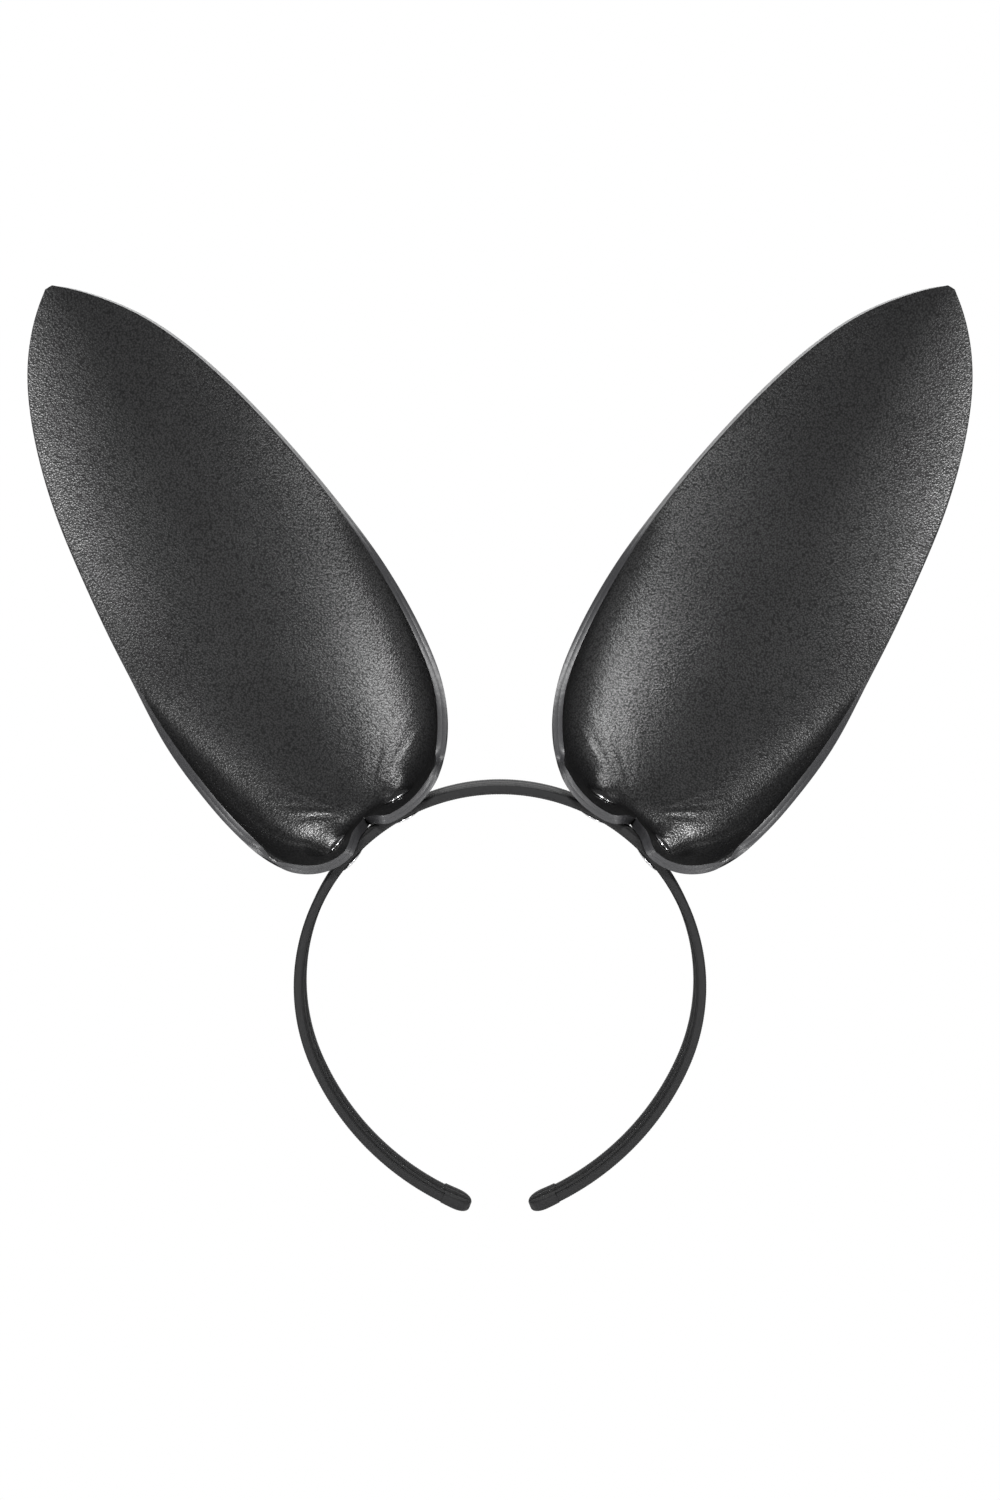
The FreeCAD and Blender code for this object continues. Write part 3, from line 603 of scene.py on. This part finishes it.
class HEADBAND_OT_wraps(bpy.types.Operator):
    """Build the folded fabric wraps at the ends of the arms"""

    bl_idname = "headband.wraps"
    bl_label = "Build end wraps"

    def execute(self, context):
        band = context.scene.headband_band
        fabric = fabric_material("wrap_fabric", band.colour, WRAP_THREAD)
        for name, side in SIDES:
            wrap = build_wrap(f"{name}_folded_wrap", band, fabric, side)
            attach(wrap, f"{name}_arm")
            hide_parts(f"{name}_end_wrap")
        return {"FINISHED"}


# ---- ears ----

def inner_shares(arch, boxed, box):
    """Where an inner control point stands on the way from a section's middle to its rim."""
    return Vector([plain + extra * box for plain, extra in zip(arch, boxed)])


def blade_row(row):
    """Control points of one blade row, from its middle out to both rims."""
    up, depth, crown_across, crown_up, arm_across, arm_up, rim_depth, box = row
    middle = Vector((0.0, up, depth))
    sides = []
    for across, rim_up in ((crown_across, crown_up), (arm_across, arm_up)):
        rim = Vector((across, rim_up, rim_depth))
        span = rim - middle
        near = middle + span * inner_shares(NEAR_ARCH, NEAR_BOX, box)
        far = middle + span * inner_shares(FAR_ARCH, FAR_BOX, box)
        sides.append((near, far, rim))
    return middle, sides[0], sides[1]


def leaf_rows():
    """Every row of the leaf: its middle, and its near, far and rim points on both sides."""
    base = [(Vector(middle), tuple(map(Vector, crown)), tuple(map(Vector, arm)))
            for middle, crown, arm in BASE_ROWS]
    return base + [blade_row(row) for row in BLADE_ROWS]


def side_lines(rows, side):
    """Four control lines of one half of the leaf, with an extra point past each end."""
    lines = [[row[0] for row in rows]]
    lines += [[row[side][column] for row in rows] for column in range(3)]
    return [[line[0] * 2 - line[1]] + line + [line[-1] * 2 - line[-2]] for line in lines]


def section_points(lines, place):
    """The four control points of a half's section at one place along the leaf."""
    index = min(int(place), len(lines[0]) - 4)
    part = place - index
    rest = 1 - part
    weights = (rest ** 3 / 6, (3 * part ** 3 - 6 * part ** 2 + 4) / 6,
               (3 * rest ** 3 - 6 * rest ** 2 + 4) / 6, part ** 3 / 6)
    return [sum((line[index + step] * weight for step, weight in enumerate(weights)), Vector())
            for line in lines]


def half_point(points, part):
    """A point of one half's section, from the middle at 0 to the rim at 1."""
    middle, near, far, rim = points
    rest = 1 - part
    return (middle * rest ** 3 + near * (3 * rest ** 2 * part)
            + far * (3 * rest * part ** 2) + rim * part ** 3)


def section_point(crown, arm, share):
    """A point of the whole section, from -1 at the arm rim to 1 at the crown rim."""
    crown_share = ease(-share, -MIDDLE_BLEND, MIDDLE_BLEND)
    if crown_share == 1:
        return half_point(crown, share)
    if crown_share == 0:
        return half_point(arm, -share)
    return half_point(crown, share) * crown_share + half_point(arm, -share) * (1 - crown_share)


def rivet_seat(ears, angle):
    """A rivet's seat in the leaf's own frame: a point on it and its outward direction."""
    radius = BAND_OUTER + ears.thickness / 2
    dx = radius * (math.sin(ears.seat_angle) - math.sin(angle))
    dz = radius * (math.cos(angle) - math.cos(ears.seat_angle))
    turn = angle - ears.lean
    point = Vector((dx * math.cos(ears.lean) + dz * math.sin(ears.lean),
                    dz * math.cos(ears.lean) - dx * math.sin(ears.lean), 0))
    return point, Vector((-math.sin(turn), math.cos(turn), 0))


def press_flat(point, seats):
    """Press the leaf flat round each rivet."""
    for seat, outward in seats:
        offset = point - seat
        height = offset.dot(outward)
        reach = (offset - outward * height).length
        press = ease(reach, FLAT_RADIUS, FADE_RADIUS) * ease(abs(height), FLAT_HEIGHT, FADE_HEIGHT)
        point = point - outward * (height * press)
    return point


def slit_half(depth):
    """Half the slit's width at a depth."""
    for (deep, narrow), (front, wide) in zip(SLIT_SHAPE, SLIT_SHAPE[1:]):
        if depth >= front:
            return narrow + (wide - narrow) * min(max((deep - depth) / (deep - front), 0.0), 1.0)
    return SLIT_SHAPE[-1][1]


def slit_share(crown, arm, side):
    """Where a section starts beside the slit, as a share of the way to the rim."""
    low, high = 0.0, SLIT_SEARCH
    for _ in range(SLIT_HALVINGS):
        part = (low + high) / 2
        point = section_point(crown, arm, side * part)
        inside = side * (point.x - SLIT_MIDDLE) < slit_half(point.z)
        low, high = (part, high) if inside else (low, part)
    return high if high > SLIT_CLOSED else 0.0


def build_leaf(ears, rivets):
    """The left ear's middle layer in leaf millimetres, with the slit between its lobes."""
    rows = leaf_rows()
    crown_lines, arm_lines = side_lines(rows, 1), side_lines(rows, 2)
    seats = [rivet_seat(ears, rivets.inner_angle), rivet_seat(ears, rivets.outer_angle)]
    sections = []
    for step in range(ears.rows + 1):
        place = step / ears.rows * (len(rows) - 1)
        crown, arm = section_points(crown_lines, place), section_points(arm_lines, place)
        middle = half_point(crown, 0)
        open_here = middle.z < SLIT_SHAPE[0][0] and middle.y < FADE_HEIGHT
        starts = {side: slit_share(crown, arm, side) if open_here else 0.0 for side in (1, -1)}
        sections.append((crown, arm, starts))
    bm = bmesh.new()
    for side in (1, -1):
        grid = bmesh.ops.create_grid(bm, x_segments=ears.columns, y_segments=ears.rows, size=0.5)
        for vert in grid["verts"]:
            crown, arm, starts = sections[round((vert.co.y + 0.5) * ears.rows)]
            share = starts[side] + (1 - starts[side]) * min(max(vert.co.x + 0.5, 0), 1)
            vert.co = press_flat(section_point(crown, arm, side * share), seats)
    bmesh.ops.remove_doubles(bm, verts=bm.verts[:], dist=0.01)
    bmesh.ops.recalc_face_normals(bm, faces=bm.faces[:])
    blade = max(bm.faces, key=lambda face: abs(face.normal.z))
    if blade.normal.z > 0:
        bmesh.ops.reverse_faces(bm, faces=bm.faces[:])
    return bm


def crease_height(point):
    """Height of the creases that fan out over each lobe, about -1 to 1."""
    side = 1 if point.x > 0 else -1
    up = point.y - CREASE_CENTRE
    reach = math.hypot(point.x, up)
    angle = math.degrees(math.atan2(side * point.x, up))
    length = CREASE_LENGTH[side]
    full, faded = CREASE_START
    fan = ease(abs(angle - CREASE_MIDDLE), *CREASE_SPREAD) * ease(-reach, -full, -faded)
    fan *= ease(reach, length * CREASE_FULL_SHARE, length)
    if fan == 0:
        return 0.0
    return fan * sum(share * noise.noise(Vector((angle / across, reach / along, seed * side)))
                     for across, along, seed, share in CREASES)


def leaf_to_world(ears, point, mirror):
    """From the left leaf's (across, up, depth) to metres in the headband's frame."""
    radius = BAND_OUTER + ears.thickness / 2 + ears.seat_lift
    lean_x, lean_z = math.sin(ears.lean), math.cos(ears.lean)
    x = point.x * lean_z - point.y * lean_x - radius * math.sin(ears.seat_angle)
    z = point.x * lean_x + point.y * lean_z + radius * math.cos(ears.seat_angle)
    return Vector((x * mirror, point.z, z)) * MM


def leaf_facing(bm):
    """Which way the leaf faces at every vertex; its rim takes that of the vertices beside it."""
    bm.normal_update()
    facing = {vert: vert.normal.copy() for vert in bm.verts}
    rim = [vert for vert in bm.verts if vert.is_boundary]
    for _ in range(2):    # the second time for corners, which have only the rim beside them
        for vert in rim:
            beside = [edge.other_vert(vert) for edge in vert.link_edges]
            beside = [other for other in beside if not other.is_boundary] or beside
            facing[vert] = sum((facing[other] for other in beside), Vector()).normalized()
    for _ in range(RIM_SMOOTHING):
        for vert in rim:
            around = [facing[edge.other_vert(vert)] for edge in vert.link_edges]
            facing[vert] = sum(around, facing[vert]).normalized()
    return [facing[vert] for vert in bm.verts]


def place_key(place):
    """A place rounded so that it can be looked up."""
    return tuple(round(value, 5) for value in place)


def build_ply(name, ears, leaf, heights, is_front, mirror, materials):
    """One leather ply of one ear, from its glued face out to its grained one."""
    bm = leaf.copy()
    facing = leaf_facing(bm)
    places = [vert.co.copy() for vert in bm.verts]
    outward = 1 if is_front else -1
    glued, grained = outward * ears.bond / 2, outward * ears.thickness / 2
    top = bmesh.ops.extrude_face_region(bm, geom=bm.faces[:])["geom"]
    top_faces = {item for item in top if isinstance(item, bmesh.types.BMFace)}
    top_verts = {item for item in top if isinstance(item, bmesh.types.BMVert)}
    source = {place_key(place): index for index, place in enumerate(places)}
    for vert in bm.verts:
        index = source[place_key(vert.co)]
        lift = glued
        if vert in top_verts:
            lift = grained + (heights[index] if is_front else 0.0)
        vert.co = places[index] + facing[index] * lift
    others = set(bm.faces) - top_faces
    glued_faces = {face for face in others if top_verts.isdisjoint(face.verts)}
    rim = others - glued_faces
    for face in bm.faces:
        face.material_index = 1 if face in rim else 0
    bmesh.ops.recalc_face_normals(bm, faces=bm.faces[:])
    grained_edges = [edge for edge in bm.edges if edge_between(edge, rim, top_faces)]
    glued_edges = [edge for edge in bm.edges if edge_between(edge, rim, glued_faces)]
    for edges, radius in ((grained_edges, ears.edge_round), (glued_edges, ears.bond_round)):
        bmesh.ops.bevel(bm, geom=edges, affect="EDGES", offset=radius, segments=3, profile=0.5,
                        material=-1, clamp_overlap=True)
    for vert in bm.verts:
        vert.co = leaf_to_world(ears, vert.co, mirror)
    bmesh.ops.recalc_face_normals(bm, faces=bm.faces[:])
    return finish_mesh(bm, name, materials)


def edge_between(edge, first, second):
    """Whether an edge joins a face of one set to a face of another."""
    faces = edge.link_faces
    return len(faces) == 2 and ((faces[0] in first and faces[1] in second)
                                or (faces[1] in first and faces[0] in second))


class HEADBAND_OT_ears(bpy.types.Operator):
    """Build the two leather plies of each ear"""

    bl_idname = "headband.ears"
    bl_label = "Build ears"

    def execute(self, context):
        ears = context.scene.headband_ears
        edge = edge_material(ears.edge_colour)
        front = leather_material("grained_leather", ears.colour, ears.grain, roughness=0.3,
                                 grain_depth=0.16)
        back = leather_material("back_leather", ears.colour, ears.grain * 0.8, roughness=0.45,
                                grain_depth=0.2)
        leaf = build_leaf(ears, context.scene.headband_rivets)
        heights = [ears.wrinkle * crease_height(vert.co) for vert in leaf.verts]
        layers = (("front", front, "leather"), ("back", back, "leather_back"))
        for name, side in SIDES:
            for layer, leather, slot in layers:
                piece = build_ply(f"{name}_ear_{layer}_ply", ears, leaf, heights, layer == "front",
                                  -side, [leather, edge])
                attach(piece, "crown")
                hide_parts(f"{name}_ear_{layer}_leather")
        leaf.free()
        return {"FINISHED"}


# ---- rivets ----

def rivet_place(angle, side):
    """Transform that stands a rivet on the band's outer face."""
    outward = Vector((side * math.sin(angle), 0, math.cos(angle)))
    turn = outward.to_track_quat("Z", "Y").to_matrix().to_4x4()
    return Matrix.Translation(outward * BAND_OUTER * MM) @ turn


def dome(radius, edge, height):
    """Half section of a domed cap standing on 0, from its rolled rim to the middle."""
    rise = height - edge
    sphere = (radius ** 2 + rise ** 2) / (2 * rise)
    start = math.asin(radius / sphere)
    roll = edge / 2
    cut = roll * CAP_ROLL
    points = [(radius - roll, 0), (radius - cut, cut), (radius, roll)]
    for step in range(DOME_STEPS + 1):
        angle = start * (1 - step / DOME_STEPS)
        points.append((sphere * math.sin(angle), height - sphere * (1 - math.cos(angle))))
    return points


def build_turned(name, section, place, material):
    """Spin a half section of (radius, height) millimetres about its own axis."""
    bm = bmesh.new()
    verts = [bm.verts.new((radius, 0, height)) for radius, height in section]
    edges = [bm.edges.new(pair) for pair in zip(verts, verts[1:])]
    bmesh.ops.spin(bm, geom=verts + edges, cent=(0, 0, 0), axis=(0, 0, 1), angle=math.tau,
                   steps=TURN_STEPS, use_merge=True)
    bmesh.ops.remove_doubles(bm, verts=bm.verts[:], dist=0.001)
    bmesh.ops.recalc_face_normals(bm, faces=bm.faces[:])
    to_metres(bm)
    bmesh.ops.transform(bm, matrix=place, verts=bm.verts[:])
    return finish_mesh(bm, name, [material])


class HEADBAND_OT_rivets(bpy.types.Operator):
    """Build the four rivets, each a domed cap on a post and a back cap on a tube"""

    bl_idname = "headband.rivets"
    bl_label = "Build rivets"

    def execute(self, context):
        rivets = context.scene.headband_rivets
        ears = context.scene.headband_ears
        band = context.scene.headband_band
        nickel = metal_material(rivets.colour)
        top = ears.thickness + ears.seat_lift + rivets.gap
        bottom = -band.thickness - rivets.back_drop
        cap = [(0, bottom), (rivets.post, bottom), (rivets.post, top)]
        cap += [(radius, top + height) for radius, height
                in dome(rivets.radius, rivets.edge, rivets.height)]
        bore, stop, shoulder = rivets.post + TUBE_PLAY, bottom - POST_STOP, top - rivets.edge
        back = [(0, stop), (bore, stop), (bore, shoulder), (rivets.socket, shoulder),
                (rivets.socket, bottom)]
        back += [(radius, bottom - height) for radius, height
                 in dome(rivets.radius, rivets.back_edge, rivets.back_height)]
        for name, side in SIDES:
            for which, angle in (("inner", rivets.inner_angle), ("outer", rivets.outer_angle)):
                place = rivet_place(angle, side)
                for part, section in (("cap", cap), ("back", back)):
                    piece = build_turned(f"{name}_{which}_nickel_{part}", section, place, nickel)
                    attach(piece, "crown")
                    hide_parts(f"{name}_{which}_rivet_{part}")
        return {"FINISHED"}


# ---- stage ----

CAMERA_PLACE = (0, -0.7003, 0.1582)
CAMERA_TILT = 6.56                # degrees that the camera looks down
CAMERA_LENS = 78.2
FLOOR_RADIUS = 30
FLOOR_DROP = 0.12                 # from the headband's lowest point to the floor
WHITE = (1, 1, 1, 1)
WORLD_LIGHT = 0.04                # how strongly the surroundings light the object
SOFTBOXES = (
    # name, place, aimed at, width and height, power
    ("Top softbox", (0, 0.1, 1.1), (0, 0, 0.1), (1.0, 0.7), 4.5),
    ("Back softbox", (0, 0.6, 0.7), (0, 0, 0.1), (1.4, 0.5), 7.0),
    ("Front softbox", (0, -0.58, 0.44), (0, 0, 0.21), (0.12, 0.08), 4.8),
    ("Left low card", (-0.25, -0.34, -0.08), (-0.04, 0, 0.12), (0.12, 0.1), 0.9),
    ("Right low card", (0.25, -0.34, -0.08), (0.04, 0, 0.12), (0.12, 0.1), 0.9),
)


def show_to_camera(tree, light, look, output):
    """Let the surroundings look white while they light the object as a dimmer backdrop."""
    rays = tree.nodes.new("ShaderNodeLightPath")
    mix = tree.nodes.new("ShaderNodeMixShader")
    factor, unseen, seen = mix.inputs
    tree.links.new(rays.outputs["Is Camera Ray"], factor)
    tree.links.new(light, unseen)
    tree.links.new(look, seen)
    tree.links.new(mix.outputs["Shader"], output.inputs["Surface"])


class HEADBAND_OT_stage(bpy.types.Operator):
    """Set up the camera, the pale floor and soft studio light"""

    bl_idname = "headband.stage"
    bl_label = "Set stage"

    def execute(self, context):
        scene = context.scene
        camera = bpy.data.objects.new("Camera", bpy.data.cameras.new("Camera"))
        scene.collection.objects.link(camera)
        camera.location = CAMERA_PLACE
        camera.rotation_euler = Euler((math.radians(90 - CAMERA_TILT), 0, 0))
        camera.data.sensor_fit = "HORIZONTAL"
        camera.data.sensor_width = 36.0
        camera.data.lens = CAMERA_LENS
        scene.camera = camera

        bm = bmesh.new()
        bmesh.ops.create_circle(bm, cap_ends=True, segments=96, radius=FLOOR_RADIUS)
        bmesh.ops.translate(bm, vec=(0, 0, CAD_BOX[0][2] - FLOOR_DROP), verts=bm.verts[:])
        white, tree, shader = new_material("floor_white", (0.85, 0.85, 0.85), roughness=0.9)
        mottle = texture(tree, "ShaderNodeTexNoise", Scale=3.0)
        dullness = spread(tree, mottle.outputs["Fac"], low=0.85, high=0.95)
        tree.links.new(dullness, shader.inputs["Roughness"])
        glow = tree.nodes.new("ShaderNodeEmission")
        show_to_camera(tree, shader.outputs["BSDF"], glow.outputs["Emission"],
                       tree.nodes["Material Output"])
        floor = finish_mesh(bm, "floor", [white])

        world = bpy.data.worlds.new("Studio")
        scene.world = world
        world.use_nodes = True
        tree = world.node_tree
        shown = tree.nodes["Background"]
        shown.inputs["Color"].default_value = WHITE
        dim = tree.nodes.new("ShaderNodeBackground")
        dim.inputs["Color"].default_value = WHITE
        dim.inputs["Strength"].default_value = WORLD_LIGHT
        show_to_camera(tree, dim.outputs["Background"], shown.outputs["Background"],
                       tree.nodes["World Output"])

        for name, place, aim, size, power in SOFTBOXES:
            lamp = bpy.data.lights.new(name, "AREA")
            lamp.shape = "RECTANGLE"
            lamp.size, lamp.size_y = size
            lamp.energy = power
            item = bpy.data.objects.new(name, lamp)
            scene.collection.objects.link(item)
            item.location = place
            direction = Vector(aim) - Vector(place)
            item.rotation_euler = direction.to_track_quat("-Z", "Y").to_euler()
        scene.view_settings.view_transform = "Standard"
        return {"FINISHED"}


class HEADBAND_PT_panel(bpy.types.Panel):
    """Lists the steps that build the headband"""

    bl_idname = "HEADBAND_PT_panel"
    bl_label = "Animal Ears Headband"
    bl_space_type = "VIEW_3D"
    bl_region_type = "UI"
    bl_category = "Headband"

    def draw(self, context):
        for step in STEPS:
            self.layout.operator(step)


STEPS = ("headband.stage", "headband.core", "headband.band", "headband.wraps", "headband.ears",
         "headband.rivets")
GROUPS = {"headband_band": BandSettings, "headband_ears": EarSettings,
          "headband_rivets": RivetSettings}
CLASSES = (*GROUPS.values(), HEADBAND_OT_band, HEADBAND_OT_core, HEADBAND_OT_wraps,
           HEADBAND_OT_ears, HEADBAND_OT_rivets, HEADBAND_OT_stage, HEADBAND_PT_panel)


def register():
    for item in CLASSES:
        bpy.utils.register_class(item)
    for name, group in GROUPS.items():
        setattr(bpy.types.Scene, name, PointerProperty(type=group))


def unregister():
    for name in GROUPS:
        delattr(bpy.types.Scene, name)
    for item in reversed(CLASSES):
        bpy.utils.unregister_class(item)


def main():
    register()
    bpy.ops.headband.stage()
    bpy.ops.headband.core()
    bpy.ops.headband.band()
    bpy.ops.headband.wraps()
    bpy.ops.headband.ears()
    bpy.ops.headband.rivets()


if __name__ == "__main__":
    main()
